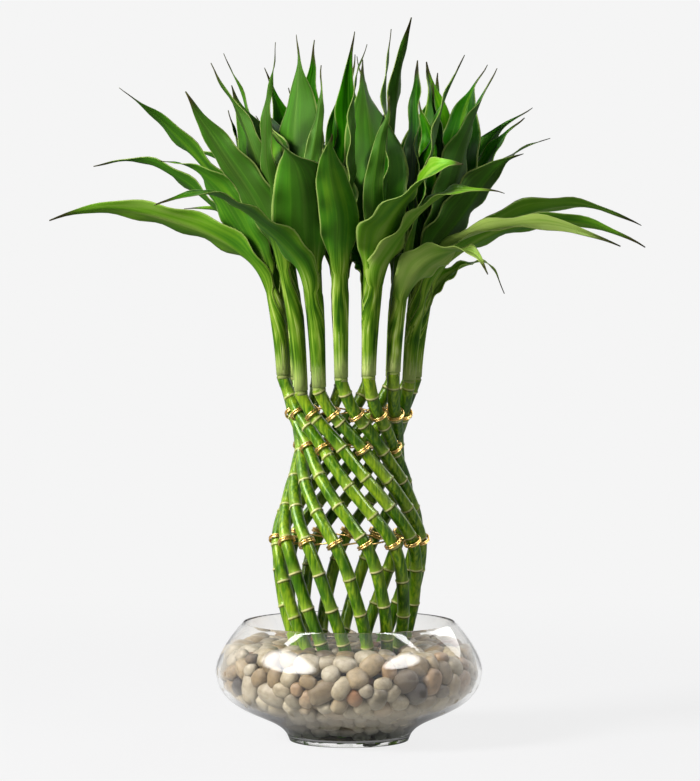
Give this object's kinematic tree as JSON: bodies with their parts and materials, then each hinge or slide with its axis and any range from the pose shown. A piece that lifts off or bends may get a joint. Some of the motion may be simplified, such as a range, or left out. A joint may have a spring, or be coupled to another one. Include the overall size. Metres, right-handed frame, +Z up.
{
  "type": "lucky bamboo",
  "caption": "Potted plant with canes woven into an open waisted lattice and a head of lance-shaped leaves, standing in pebbles in a round clear glass bowl.",
  "frame": {"origin": "centre of the bowl's flat underside", "axes": "+Z up along the axis that the canes are woven round, -Y the front that the picture shows, +X to its right"},
  "size_m": [0.4785, 0.3433, 0.5784],
  "materials": {
    "glass": "clear, smooth",
    "pebble": "smooth, river-worn",
    "cane": "smooth living cane with pale joints",
    "tie_wire": "drawn wire",
    "leaf": "waxy living leaf"
  },
  "bodies": {
    "root": {"glass_bowl": "glass", "pebbles": "pebble", "cane_01": "cane", "cane_02": "cane", "cane_03": "cane", "cane_04": "cane", "cane_05": "cane", "cane_06": "cane", "cane_07": "cane", "cane_08": "cane", "cane_09": "cane", "cane_10": "cane", "cane_11": "cane", "cane_12": "cane", "cane_13": "cane", "cane_14": "cane", "cane_15": "cane", "lower_tie_wire": "tie_wire", "waist_tie_wire": "tie_wire", "upper_tie_wire": "tie_wire", "shoot_01": "leaf", "shoot_02": "leaf", "shoot_03": "leaf", "shoot_04": "leaf", "shoot_05": "leaf", "shoot_06": "leaf", "shoot_07": "leaf", "shoot_08": "leaf", "shoot_09": "leaf", "shoot_10": "leaf", "shoot_11": "leaf", "shoot_12": "leaf", "shoot_13": "leaf", "shoot_14": "leaf", "shoot_15": "leaf"}
  },
  "joints": []
}
